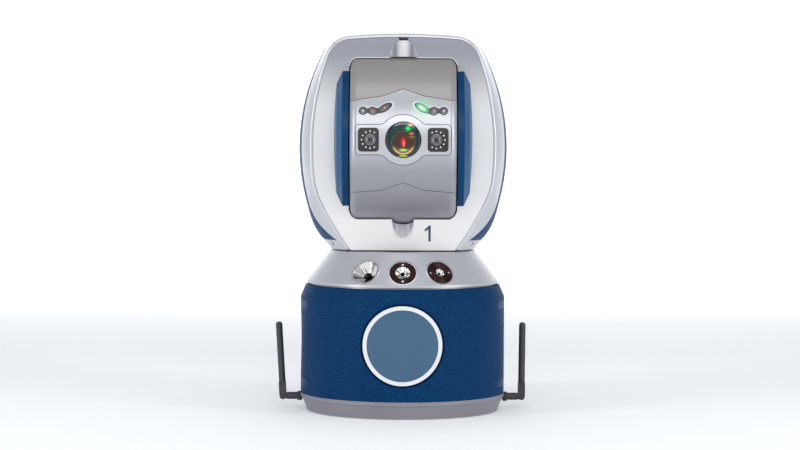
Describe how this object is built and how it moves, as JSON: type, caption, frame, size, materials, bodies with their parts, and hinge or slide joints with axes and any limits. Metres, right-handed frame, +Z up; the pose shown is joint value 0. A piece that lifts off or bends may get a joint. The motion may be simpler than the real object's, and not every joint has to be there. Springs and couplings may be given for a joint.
{
  "type": "laser tracker head",
  "caption": "Laser tracker head: round base with reflector nests, a yoke that turns without limit and a drum with lens and cameras that tilts in it, two folding aerials.",
  "frame": {"origin": "centre of the foot ring's underside, on the azimuth axis", "axes": "+Z up along the azimuth axis, -Y the way the lens looks at rest, +X to the right seen from the front"},
  "size_m": [0.2757, 0.224, 0.4163],
  "materials": {
    "foot_paint": "matt",
    "steel": "satin",
    "blue_paint": "speckled satin paint",
    "badge_white": "gloss",
    "badge_blue": "gloss",
    "blue_plastic": "matt",
    "silver_paint": "satin metallic paint",
    "white_paint": "satin paint",
    "nest_steel": "polished",
    "cast_aluminium": "machined",
    "motor_steel": "plain",
    "encoder_glass": "clear",
    "black_plastic": "matt",
    "button_plastic": "satin",
    "board_green": "satin",
    "lens_glass": "coated",
    "window_plastic": "gloss"
  },
  "bodies": {
    "base": {"base_ring": "foot_paint", "stand_thread_ring": "steel", "foot_screws": "steel", "base_shell": "blue_paint", "badge_ring": "badge_white", "badge_disc": "badge_blue", "side_pads": "blue_plastic", "collar": "silver_paint", "nest_large": "nest_steel", "nest_medium": "nest_steel", "nest_small": "nest_steel", "nest_screws": "steel", "base_chassis": "cast_aluminium", "azimuth_bearings": "steel", "azimuth_stator": "motor_steel", "azimuth_read_heads": "black_plastic", "slip_ring": "black_plastic", "power_supply": "black_plastic", "control_board": "board_green", "connector_panel": "black_plastic", "power_socket": "black_plastic", "data_sockets": "black_plastic", "antenna_jacks": "steel"},
    "yoke": {"yoke_frame": "silver_paint", "front_cover": "white_paint", "rear_cover": "white_paint", "top_cap": "silver_paint", "cover_screws": "steel", "grip_panel_left": "blue_plastic", "grip_panel_right": "blue_plastic", "trunnion_cover_left": "blue_paint", "trunnion_cover_right": "blue_paint", "azimuth_shaft": "steel", "azimuth_rotor": "motor_steel", "azimuth_encoder_disc": "encoder_glass", "zenith_bearings": "steel", "zenith_stator": "motor_steel", "zenith_read_heads": "black_plastic", "yoke_board": "board_green"},
    "head": {"head_front_shell": "silver_paint", "head_upper_shell": "silver_paint", "head_lower_shell": "silver_paint", "head_side_plates": "silver_paint", "lens_plate": "silver_paint", "camera_bezels": "black_plastic", "camera_modules": "black_plastic", "indicator_windows": "window_plastic", "lens_barrel": "cast_aluminium", "objective_lens": "lens_glass", "optical_bench": "cast_aluminium", "optics_block": "cast_aluminium", "laser_module": "black_plastic", "trunnion_shafts": "steel", "zenith_rotor": "motor_steel", "zenith_encoder_disc": "encoder_glass"},
    "power_button": {"power_button": "button_plastic"},
    "antenna_elbow_left": {"antenna_elbow_left": "black_plastic"},
    "antenna_blade_left": {"antenna_blade_left": "black_plastic"},
    "antenna_elbow_right": {"antenna_elbow_right": "black_plastic"},
    "antenna_blade_right": {"antenna_blade_right": "black_plastic"}
  },
  "joints": [
    {"name": "azimuth", "type": "hinge", "parent": "base", "child": "yoke", "pos_m": [0, 0, 0.1775], "axis": [0, 0, 1], "continuous": true},
    {"name": "zenith", "type": "hinge", "parent": "yoke", "child": "head", "pos_m": [0, 0, 0.298], "axis": [-1, 0, 0], "range_deg": [-52, 78]},
    {"name": "power_button_press", "type": "slide", "parent": "base", "child": "power_button", "axis": [0, -1, 0], "range_m": [0, 0.0015], "stiffness_N_per_m": 500},
    {"name": "left_antenna_swivel", "type": "hinge", "parent": "base", "child": "antenna_elbow_left", "pos_m": [-0.1131, 0, 0.014], "axis": [-1, 0, 0], "range_deg": [-90, 90]},
    {"name": "left_antenna_fold", "type": "hinge", "parent": "antenna_elbow_left", "child": "antenna_blade_left", "pos_m": [-0.1315, 0, 0.014], "axis": [0, -1, 0], "range_deg": [-3.3, 86.7]},
    {"name": "right_antenna_swivel", "type": "hinge", "parent": "base", "child": "antenna_elbow_right", "pos_m": [0.1131, 0, 0.014], "axis": [1, 0, 0], "range_deg": [-90, 90]},
    {"name": "right_antenna_fold", "type": "hinge", "parent": "antenna_elbow_right", "child": "antenna_blade_right", "pos_m": [0.1315, 0, 0.014], "axis": [0, 1, 0], "range_deg": [-0.6, 89.4]}
  ]
}
